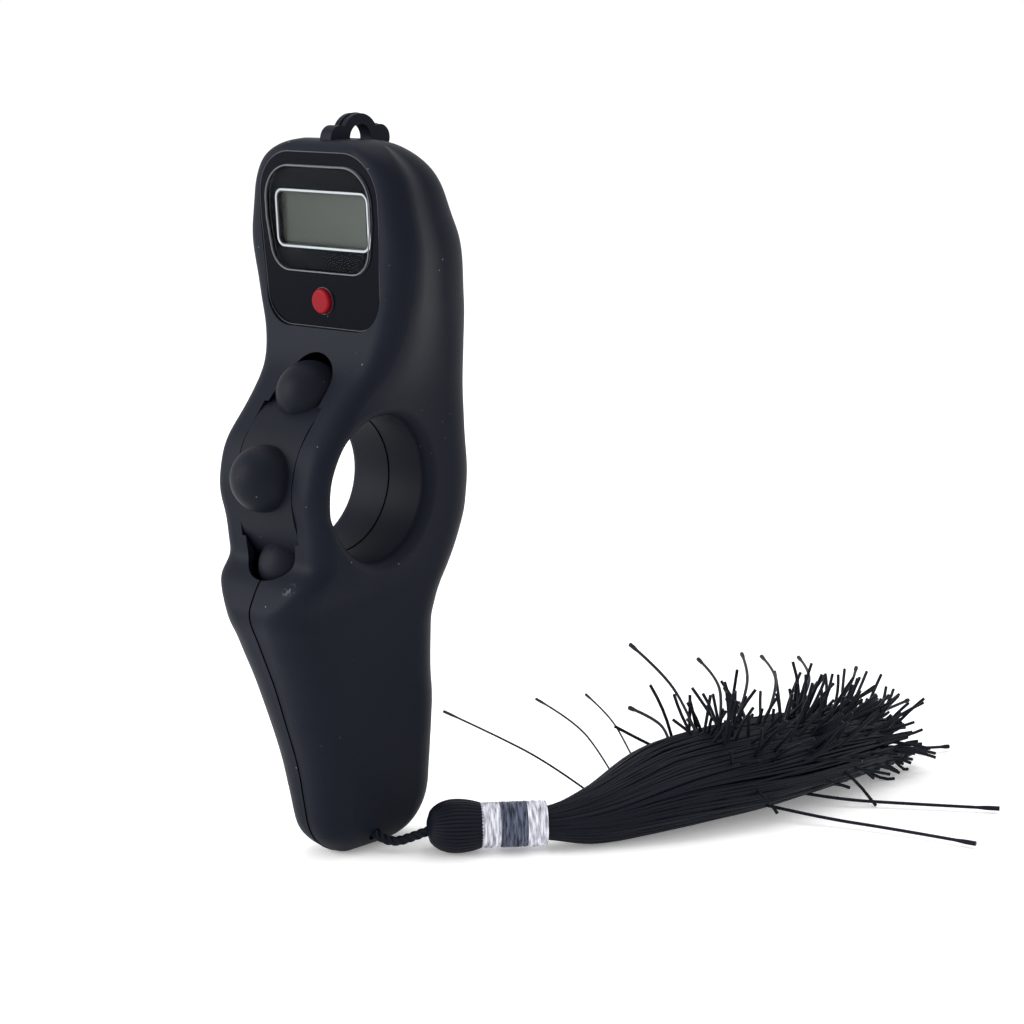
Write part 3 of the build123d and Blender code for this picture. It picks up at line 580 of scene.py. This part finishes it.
def curve_points(route):
    """Points along the smooth curve that a route's points pull."""
    data = bpy.data.curves.new("route", "CURVE")
    data.dimensions = "3D"
    spline = data.splines.new("NURBS")
    spline.points.add(len(route) - 1)
    for point, place in zip(spline.points, route):
        point.co = (*place, 1)
    spline.order_u = 3
    spline.use_endpoint_u = True
    spline.resolution_u = 10
    holder = bpy.data.objects.new("route", data)
    bpy.context.scene.collection.objects.link(holder)
    mesh = bpy.data.meshes.new_from_object(holder)
    points = [vertex.co.copy() for vertex in mesh.vertices]
    bpy.data.meshes.remove(mesh)
    bpy.data.objects.remove(holder)
    bpy.data.curves.remove(data)
    return points


def tube_group():
    """Geometry nodes that give every line of a mesh a round section and a material."""
    group = bpy.data.node_groups.new("Thread tubes", "GeometryNodeTree")
    face = group.interface
    face.new_socket("Geometry", in_out="INPUT", socket_type="NodeSocketGeometry")
    face.new_socket("Radius", in_out="INPUT", socket_type="NodeSocketFloat")
    face.new_socket("Sides", in_out="INPUT", socket_type="NodeSocketInt")
    face.new_socket("Material", in_out="INPUT", socket_type="NodeSocketMaterial")
    face.new_socket("Geometry", in_out="OUTPUT", socket_type="NodeSocketGeometry")
    nodes = group.nodes
    start = nodes.new("NodeGroupInput")
    lines = nodes.new("GeometryNodeMeshToCurve")
    ring = nodes.new("GeometryNodeCurvePrimitiveCircle")
    tubes = nodes.new("GeometryNodeCurveToMesh")
    tubes.inputs["Fill Caps"].default_value = True
    thickness = nodes.new("GeometryNodeInputNamedAttribute")
    thickness.data_type = "FLOAT"
    thickness.inputs["Name"].default_value = "thickness"
    smooth = nodes.new("GeometryNodeSetShadeSmooth")
    whole = nodes.new("GeometryNodeRealizeInstances")
    paint = nodes.new("GeometryNodeSetMaterial")
    end = nodes.new("NodeGroupOutput")
    links = group.links
    links.new(start.outputs["Geometry"], lines.inputs["Mesh"])
    links.new(start.outputs["Radius"], ring.inputs["Radius"])
    links.new(start.outputs["Sides"], ring.inputs["Resolution"])
    links.new(lines.outputs["Curve"], tubes.inputs["Curve"])
    links.new(ring.outputs["Curve"], tubes.inputs["Profile Curve"])
    links.new(thickness.outputs["Attribute"], tubes.inputs["Scale"])
    links.new(tubes.outputs["Mesh"], smooth.inputs["Geometry"])
    links.new(smooth.outputs["Geometry"], whole.inputs["Geometry"])
    links.new(whole.outputs["Geometry"], paint.inputs["Geometry"])
    links.new(start.outputs["Material"], paint.inputs["Material"])
    links.new(paint.outputs["Geometry"], end.inputs["Geometry"])
    return group


def tube_piece(name, lines, radius, sides, material, swells=None):
    """Round threads along the given lines of points, each point with its share of the radius."""
    vertices = [point for line in lines for point in line]
    edges = []
    first = 0
    for line in lines:
        edges += [(first + step, first + step + 1) for step in range(len(line) - 1)]
        first += len(line)
    shares = [share for line in swells for share in line] if swells else [1.0] * len(vertices)
    return tube_mesh(name, vertices, edges, shares, radius, sides, material)


def tube_mesh(name, vertices, edges, shares, radius, sides, material):
    """One plain mesh of round tubes along the given edges."""
    group = bpy.data.node_groups.get("Thread tubes") or tube_group()
    mesh = bpy.data.meshes.new(name + "_lines")
    mesh.from_pydata(vertices, edges, [])
    thickness = mesh.attributes.new("thickness", "FLOAT", "POINT")
    thickness.data.foreach_set("value", shares)
    piece = bpy.data.objects.new(name, mesh)
    bpy.context.scene.collection.objects.link(piece)
    modifier = piece.modifiers.new("Tubes", "NODES")
    modifier.node_group = group
    names = {item.name: item.identifier for item in group.interface.items_tree if item.in_out == "INPUT"}
    modifier[names["Radius"]] = radius
    modifier[names["Sides"]] = sides
    modifier[names["Material"]] = material
    view = bpy.context.evaluated_depsgraph_get()
    made = bpy.data.meshes.new_from_object(piece.evaluated_get(view), depsgraph=view)
    piece.modifiers.remove(modifier)
    piece.data = made
    bpy.data.meshes.remove(mesh)
    made.name = name
    return piece


def merged_copy(node):
    """A copy of a CAD node's mesh with its triangles joined."""
    shape = bmesh.new()
    shape.from_mesh(node.data)
    bmesh.ops.remove_doubles(shape, verts=shape.verts, dist=MERGE_GAP * MM)
    return shape


def numbered(pairs):
    """Each point once, and each pair of points as a pair of numbers."""
    places = {}
    for pair in pairs:
        for point in pair:
            places.setdefault(tuple(point), len(places))
    numbers = [tuple(places[tuple(point)] for point in pair) for pair in pairs]
    return [Vector(place) for place in places], numbers


def front_edges(node, outward):
    """Points and pairs of the sharp edges round the front of a flat CAD node."""
    shape = merged_copy(node)
    pairs = []
    for edge in shape.edges:
        facing = [face.normal.dot(outward) for face in edge.link_faces]
        if len(facing) == 2 and max(facing) > FACING_SHARE and min(facing) < RIM_TURN_SHARE:
            pairs.append([vertex.co.copy() for vertex in edge.verts])
    shape.free()
    return numbered(pairs)


def seam_edges(node):
    """Points and pairs of the edges where the halves meet, on the outside and in the bore."""
    shape = merged_copy(node)
    walls = BVHTree.FromBMesh(shape)
    pairs = []
    for edge in shape.edges:
        ends = [vertex.co.copy() for vertex in edge.verts]
        if len(edge.link_faces) != 2 or max(abs(point.x) for point in ends) > SEAM_NEAR * MM:
            continue
        outer = min((face.normal for face in edge.link_faces), key=lambda normal: abs(normal.x))
        joint = max((face.normal for face in edge.link_faces), key=lambda normal: abs(normal.x))
        if abs(joint.x) < FACING_SHARE or abs(outer.x) > SEAM_TURN_SHARE:
            continue
        middle = (ends[0] + ends[1]) / 2
        start = middle + outer * (SEAM_STEP * MM) + Vector((SEAM_NEAR * MM, 0, 0))
        reach = math.hypot(middle.y, middle.z)
        in_bore = reach < (BORE_RADIUS + SEAM_STEP) * MM
        under_wheel = reach < WHEEL_RADIUS * MM
        on_head_front = middle.y < SEAM_FRONT * MM and middle.z > SEAM_TOP * MM
        bare = under_wheel or on_head_front or walls.ray_cast(start, outer)[0] is not None
        if in_bore or not bare:
            pairs.append(ends)
    shape.free()
    return numbered(pairs)


def frames_along(points):
    """Each point with two directions square to the line, turned as little as possible."""
    frames = []
    side = None
    for index, point in enumerate(points):
        before = points[max(index - 1, 0)]
        after = points[min(index + 1, len(points) - 1)]
        way = (after - before).normalized()
        if side is None:
            side = way.orthogonal().normalized()
        side = (side - way * side.dot(way)).normalized()
        frames.append((point, side, way.cross(side)))
    return frames


def even_points(points, gap):
    """The same line with points an even distance apart."""
    spaced = [points[0]]
    left = gap
    for before, after in zip(points, points[1:]):
        length = (after - before).length
        done = 0.0
        while length - done >= left:
            done += left
            spaced.append(before.lerp(after, done / length))
            left = gap
        left -= length - done
    return spaced + [points[-1]]


def tassel_axis():
    turn = math.radians(TASSEL_BEARING)
    return Vector((math.cos(turn), math.sin(turn), 0))


def tassel_frame():
    """Origin, way, level side and up of the tassel's head."""
    way = tassel_axis()
    return floor_point(TASSEL_START), way, Vector((0, 0, 1)).cross(way), Vector((0, 0, 1))


def neck_length():
    """From the tassel's start to the end of its lowest winding, in metres."""
    bands = sum(turns * BAND_PITCH + 2 * BAND_THREAD + BAND_GAP for turns in BAND_TURNS)
    return (HEAD_LENGTH + bands + BAND_GAP) * MM


def ring_point(along, radius, turn):
    """A point round the tassel's axis."""
    origin, way, side, up = tassel_frame()
    return origin + way * along + (side * math.cos(turn) + up * math.sin(turn)) * radius


def head_radius(share):
    """Radius at the middle of the head's threads, along its length as a share of it."""
    middle = HEAD_MIDDLE_SHARE
    if share < middle:
        return mix(HEAD_MOUTH, HEAD_SWELL, math.sqrt(1 - (1 - share / middle) ** 2)) * MM
    return mix(HEAD_SWELL, HEAD_END, ((share - middle) / (1 - middle)) ** 2) * MM


# Operators


class COUNTER_OT_finish_nodes(bpy.types.Operator):
    """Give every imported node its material"""

    bl_idname = "counter.finish_nodes"
    bl_label = "Finish nodes"

    def execute(self, context):
        materials = make_materials()
        slots = {entry["node"]: entry["material_slot"] for entry in frame["record"]["subparts"]}
        for name, piece in frame["nodes"].items():
            piece.data.materials.clear()
            piece.data.materials.append(materials[slots[name]])
        return {"FINISHED"}


class COUNTER_OT_print_display(bpy.types.Operator):
    """Print the white frame line behind the window and draw painted highlights along the rims of window
    and panel
    """

    bl_idname = "counter.print_display"
    bl_label = "Print display frame"

    def execute(self, context):
        tilt = math.radians(DISPLAY_TILT)
        origin = Vector(DISPLAY_PLACE) * MM
        up = Vector((0, -math.sin(tilt), math.cos(tilt)))
        inward = Vector((0, math.cos(tilt), math.sin(tilt)))
        vertices = []
        faces = []
        for grow in (0.0, -PRINT_LINE):
            for sign_x, sign_y, start in ((1, 1, 0), (-1, 1, 90), (-1, -1, 180), (1, -1, 270)):
                for step in range(PRINT_CORNER_STEPS + 1):
                    turn = math.radians(start + 90 * step / PRINT_CORNER_STEPS)
                    radius = PRINT_ROUND + grow
                    x = sign_x * (PRINT_HALF_WIDTH - PRINT_ROUND) + radius * math.cos(turn)
                    y = sign_y * (PRINT_HALF_HEIGHT - PRINT_ROUND) + radius * math.sin(turn)
                    place = Vector((x * MM, 0, 0)) + up * (y * MM) + inward * (PRINT_DEPTH * MM)
                    vertices.append(origin + place)
        count = len(vertices) // 2
        for index in range(count):
            after = (index + 1) % count
            faces.append((index, after, count + after, count + index))
        mesh = bpy.data.meshes.new("frame_print")
        mesh.from_pydata(vertices, [], faces)
        mesh.materials.append(bpy.data.materials["white_print"])
        piece = bpy.data.objects.new("frame_print", mesh)
        context.scene.collection.objects.link(piece)
        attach(piece, "housing")
        # Painted highlights: light lines along the front edges of the window and the panel
        for name, node, slot, finish in (
            ("window_rim", "display_window", "window", "window_rim"),
            ("panel_edge", "face_panel", "panel", "panel_edge"),
        ):
            points, pairs = front_edges(frame["nodes"][node], -inward)
            finish = bpy.data.materials[finish]
            shares = [1.0] * len(points)
            rim = tube_mesh(name, points, pairs, shares, RIM_HIGHLIGHT_RADIUS * MM, LINE_SIDES, finish)
            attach(rim, "housing")
        return {"FINISHED"}


class COUNTER_OT_draw_seam(bpy.types.Operator):
    """Lay the dark parting line between the halves of the housing"""

    bl_idname = "counter.draw_seam"
    bl_label = "Draw seam"

    def execute(self, context):
        points, pairs = seam_edges(frame["nodes"]["right_shell"])
        if not pairs:
            raise RuntimeError("the halves of the housing share no edge")
        dark = bpy.data.materials["seam_shadow"]
        shares = [1.0] * len(points)
        seam = tube_mesh("parting_line", points, pairs, shares, SEAM_RADIUS * MM, LINE_SIDES, dark)
        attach(seam, "housing")
        return {"FINISHED"}


class COUNTER_OT_make_tassel(bpy.types.Operator):
    """Make the tassel's head, windings, skirt and stray threads"""

    bl_idname = "counter.make_tassel"
    bl_label = "Make tassel"

    def execute(self, context):
        settings = context.scene.counter_tassel
        scatter = random.Random(settings.seed)
        self.make_head(settings)
        self.make_bands(scatter)
        self.make_skirt(settings, scatter)
        self.make_strays(settings)
        return {"FINISHED"}

    def finish(self, piece, slot, *nodes):
        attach(piece, "housing")
        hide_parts(*nodes)

    def make_head(self, settings):
        lines = []
        for rib in range(settings.head_ribs):
            turn = 2 * math.pi * rib / settings.head_ribs
            line = []
            for step in range(HEAD_STEPS + 1):
                share = step / HEAD_STEPS
                along = share * HEAD_LENGTH * MM
                line.append(ring_point(along, head_radius(share), turn))
            lines.append(line)
        black = bpy.data.materials["black_thread"]
        piece = tube_piece("thread_head", lines, RIB_RADIUS * MM, FLOSS_SIDES, black)
        self.finish(piece, "cord", "tassel_head")

    def make_bands(self, scatter):
        names = ("thread_band_upper", "thread_band_middle", "thread_band_lower")
        nodes = ("binding_upper", "binding_middle", "binding_lower")
        slots = ("white_thread", "blue_thread", "white_thread")
        flosses = ("white_floss", "blue_floss", "white_floss")
        bands = zip(names, nodes, slots, flosses, FLOSS_EDGES, FLOSS_EDGES[1:])
        for name, node, slot, floss, start, end in bands:
            loops = round((end - start - FLOSS_RADIUS) / FLOSS_PITCH)
            pitch = (end - start - FLOSS_RADIUS) / loops
            halves = range(2 * loops + 2)
            reaches = [FLOSS_REACH + scatter.uniform(-FLOSS_WANDER, FLOSS_WANDER) for half in halves]
            shifts = [scatter.uniform(-FLOSS_WANDER, FLOSS_WANDER) for half in halves]
            line = []
            for step in range(loops * FLOSS_STEPS + 1):
                place = 2 * step / FLOSS_STEPS
                along = HEAD_LENGTH + start + FLOSS_RADIUS / 2 + pitch * step / FLOSS_STEPS
                along += smooth_between(shifts, place)
                line.append(ring_point(along * MM, smooth_between(reaches, place) * MM, math.pi * place))
            piece = tube_piece(name, [line], FLOSS_RADIUS * MM, FLOSS_SIDES, bpy.data.materials[floss])
            self.finish(piece, slot, node)

    def skirt_form(self):
        """Centres, half widths and half heights of the skirt along its length, from the head on."""
        origin, way = tassel_frame()[:2]
        centres = [origin + way * HEAD_LENGTH * MM, origin + way * neck_length()]
        centres += [floor_point((*place, half)) for place, half in zip(SKIRT_ROUTE, SKIRT_HALF_HEIGHTS)]
        widths = [NECK_RADIUS, NECK_RADIUS, *SKIRT_HALF_WIDTHS]
        heights = [NECK_RADIUS, NECK_RADIUS, *SKIRT_HALF_HEIGHTS]
        return centres, widths, heights

    def skirt_point(self, form, place, turn, depth):
        """A point of the skirt, its way along and its way out, at a depth in metres under the surface."""
        centres, widths, heights = form
        centre = smooth_between(centres, place)
        ahead = smooth_between(centres, min(place + WAY_STEP, len(centres) - 1))
        behind = smooth_between(centres, max(place - WAY_STEP, 0))
        way = (ahead - behind).normalized()
        up = Vector((0, 0, 1))
        level = up.cross(way).normalized()
        width = smooth_between(widths, place) * MM
        height = smooth_between(heights, place) * MM
        out = (level * (math.cos(turn) / width) + up * (math.sin(turn) / height)).normalized()
        edge = level * (math.cos(turn) * width) + up * (math.sin(turn) * height)
        return centre + edge * max(CORE_SHARE, 1 - depth / edge.length), way, out

    def above_floor(self, point, radius):
        return Vector((point.x, point.y, max(point.z, FLOOR + radius)))

    def make_skirt(self, settings, scatter):
        form = self.skirt_form()
        last = len(form[0]) - 1
        radius = settings.thread_radius
        lines = []
        for thread in range(settings.thread_count):
            turn = 2 * math.pi * (thread + scatter.random()) / settings.thread_count * 2
            inner = scatter.random() < INNER_SHARE
            depth = radius + scatter.uniform(*(INNER_DEPTHS if inner else OUTER_DEPTHS)) * MM
            sway = scatter.uniform(*SWAYS)
            swing = scatter.uniform(*SWINGS)
            phase = scatter.uniform(0, 2 * math.pi)
            short = scatter.random() < SHORT_SHARE
            end = last * scatter.uniform(*(SHORT_END_SHARES if short else LONG_END_SHARES))
            line = []
            for step in range(THREAD_STEPS + 1):
                place = end * step / THREAD_STEPS
                drift = sway * place / last + SWING_REACH * math.sin(phase + swing * place) * place / last
                point, way, out = self.skirt_point(form, place, turn + drift, depth)
                line.append(self.above_floor(point, radius))
            splay = scatter.uniform(*END_SPLAYS)
            reach = scatter.uniform(*END_REACHES) * MM
            for part in END_SHARES:
                tip = point + way * (reach * part) + out * (reach * splay * part * part)
                line.append(self.above_floor(tip, radius))
            lines.append(line)
        lines += [self.tip_line(settings, scatter, form) for tip in range(settings.tip_count)]
        black = bpy.data.materials["black_thread"]
        piece = tube_piece("thread_skirt", lines, radius, SKIRT_SIDES, black)
        self.finish(piece, "cord", "tassel_skirt")

    def tip_line(self, settings, scatter, form):
        """A short end that leaves the skirt's upper side and bends a little."""
        last = len(form[0]) - 1
        radius = settings.thread_radius
        place = last * scatter.uniform(*TIP_PLACE_SHARES)
        turn = math.radians(scatter.gauss(TIP_TURN, TIP_TURN_SPREAD))
        root, way, out = self.skirt_point(form, place, turn, TIP_DEPTH * MM)
        side = out.cross(way)
        lift = scatter.uniform(*TIP_LIFTS)
        beyond = (place / last - TIP_ALONG_START_SHARE) / TIP_ALONG_SPAN_SHARE
        along = mix(*TIP_ALONGS, beyond) + scatter.uniform(*TIP_ALONG_WANDER)
        heading = (out * lift + way * along + side * scatter.uniform(*TIP_SIDEWAYS)).normalized()
        bend = (way * scatter.uniform(*TIP_BENDS) + side * scatter.uniform(*TIP_BENDS)) * TIP_BEND_SHARE
        length = scatter.uniform(*TIP_LENGTHS) * MM
        line = []
        for step in range(TIP_STEPS + 1):
            part = step / TIP_STEPS
            point = root + heading * (length * part) + bend * (length * part * part)
            line.append(self.above_floor(point, radius))
        return line

    def make_strays(self, settings):
        lines = [curve_points([floor_point(place) for place in route]) for route in STRAY_ROUTES]
        swells = []
        for route, line in zip(STRAY_ROUTES, lines):
            share = STRAY_FINE_SHARE if route[-1][0] < STRAY_FINE_END else STRAY_FULL_SHARE
            plain = [share] * (len(line) - STRAY_END_POINTS)
            swells.append(plain + [share * STRAY_END_SWELL] * STRAY_END_POINTS)
        black = bpy.data.materials["black_thread"]
        piece = tube_piece("thread_strays", lines, settings.thread_radius, STRAY_SIDES, black, swells)
        self.finish(piece, "cord", "tassel_strays")


class COUNTER_OT_make_cord(bpy.types.Operator):
    """Make the twisted cord from the base into the tassel"""

    bl_idname = "counter.make_cord"
    bl_label = "Make cord"

    def execute(self, context):
        settings = context.scene.counter_tassel
        origin, way = tassel_frame()[:2]
        route = [floor_point(place) for place in CORD_ROUTE[:-1]]
        route += [origin + way * HEAD_LENGTH * MM * share for share in HEAD_ENTRY_SHARES]
        route.append(origin + way * neck_length())
        path = even_points(curve_points(route), CORD_STEP * MM)
        strands = []
        for strand in range(STRANDS):
            line = []
            for index, (point, first, second) in enumerate(frames_along(path)):
                turn = 2 * math.pi * (strand / STRANDS + index * CORD_STEP * MM / settings.strand_pitch)
                reach = settings.strand_radius * STRAND_LAY_SHARE
                line.append(point + (first * math.cos(turn) + second * math.sin(turn)) * reach)
            strands.append(line)
        black = bpy.data.materials["black_thread"]
        piece = tube_piece("twisted_cord", strands, settings.strand_radius, CORD_SIDES, black)
        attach(piece, "housing")
        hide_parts("tassel_cord")
        self.make_knot(settings, path[0])
        return {"FINISHED"}

    def make_knot(self, settings, centre):
        """The knot inside the base, a closed loop that crosses itself three times."""
        line = []
        for step in range(KNOT_STEPS + 1):
            turn = 2 * math.pi * step / KNOT_STEPS
            across = math.sin(turn) + 2 * math.sin(2 * turn)
            back = math.cos(turn) - 2 * math.cos(2 * turn)
            rise = -math.sin(3 * turn)
            line.append(centre + Vector((across, back, rise)) * (KNOT_SIZE * MM))
        black = bpy.data.materials["black_thread"]
        piece = tube_piece("thread_knot", [line], settings.strand_radius, CORD_SIDES, black)
        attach(piece, "housing")
        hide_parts("cord_knot")


class COUNTER_OT_set_stage(bpy.types.Operator):
    """Set the floor, the lights, the camera and the background"""

    bl_idname = "counter.set_stage"
    bl_label = "Set stage"

    def execute(self, context):
        scene = context.scene
        settings = scene.counter_stage
        self.make_floor(scene)
        self.make_lights(scene)
        self.make_camera(scene, settings)
        world = scene.world or bpy.data.worlds.new("World")
        scene.world = world
        world.use_nodes = True
        backdrop = world.node_tree.nodes["Background"]
        backdrop.inputs["Color"].default_value = (1, 1, 1, 1)
        backdrop.inputs["Strength"].default_value = 1.0
        scene.view_settings.view_transform = "Standard"
        return {"FINISHED"}

    def make_floor(self, scene):
        size = FLOOR_SIZE
        mesh = bpy.data.meshes.new("floor")
        corners = [(-size, -size, FLOOR), (size, -size, FLOOR), (size, size, FLOOR), (-size, size, FLOOR)]
        mesh.from_pydata(corners, [], [(0, 1, 2, 3)])
        material, shader = new_material("pale_floor", FLOOR_TONE, 0.9, 0.0)
        shader.inputs["Emission Color"].default_value = (1, 1, 1, 1)
        shader.inputs["Emission Strength"].default_value = FLOOR_GLOW
        mesh.materials.append(material)
        floor = bpy.data.objects.new("floor", mesh)
        scene.collection.objects.link(floor)

    def make_lights(self, scene):
        for name, (place, size, power) in LIGHTS.items():
            light = bpy.data.lights.new(name, "AREA")
            light.energy = power
            light.size = size
            lamp = bpy.data.objects.new(name, light)
            lamp.location = place
            lamp.rotation_euler = (-Vector(place)).to_track_quat("-Z", "Y").to_euler()
            scene.collection.objects.link(lamp)

    def make_camera(self, scene, settings):
        turn, rise = settings.azimuth, settings.elevation
        back = Vector((math.sin(turn) * math.cos(rise), -math.cos(turn) * math.cos(rise), math.sin(rise)))
        right = Vector((math.cos(turn), math.sin(turn), 0))
        up = back.cross(right)
        camera = bpy.data.objects.new("camera", bpy.data.cameras.new("camera"))
        place = right * settings.aside - up * settings.below + back * settings.distance
        camera.matrix_world = Matrix.Translation(place) @ Matrix((right, up, back)).transposed().to_4x4()
        camera.data.lens = settings.lens
        camera.data.sensor_width = SENSOR_WIDTH
        camera.data.clip_start = CLIP_START
        scene.collection.objects.link(camera)
        scene.camera = camera


class COUNTER_PT_looks(bpy.types.Panel):
    bl_idname = "COUNTER_PT_looks"
    bl_label = "Bead counter"
    bl_space_type = "VIEW_3D"
    bl_region_type = "UI"
    bl_category = "Counter"

    def draw(self, context):
        layout = self.layout
        for settings in (context.scene.counter_tassel, context.scene.counter_stage):
            for name in settings.__annotations__:
                layout.prop(settings, name)
        for operator in OPERATORS:
            layout.operator(operator.bl_idname)


OPERATORS = (
    COUNTER_OT_finish_nodes,
    COUNTER_OT_print_display,
    COUNTER_OT_draw_seam,
    COUNTER_OT_make_tassel,
    COUNTER_OT_make_cord,
    COUNTER_OT_set_stage,
)
CLASSES = (TasselSettings, StageSettings, *OPERATORS, COUNTER_PT_looks)


def register():
    for entry in CLASSES:
        bpy.utils.register_class(entry)
    bpy.types.Scene.counter_tassel = bpy.props.PointerProperty(type=TasselSettings)
    bpy.types.Scene.counter_stage = bpy.props.PointerProperty(type=StageSettings)


def unregister():
    del bpy.types.Scene.counter_stage
    del bpy.types.Scene.counter_tassel
    for entry in reversed(CLASSES):
        bpy.utils.unregister_class(entry)


def main():
    register()
    bpy.ops.counter.finish_nodes()
    bpy.ops.counter.print_display()
    bpy.ops.counter.draw_seam()
    bpy.ops.counter.make_tassel()
    bpy.ops.counter.make_cord()
    bpy.ops.counter.set_stage()


if __name__ == "__main__":
    main()
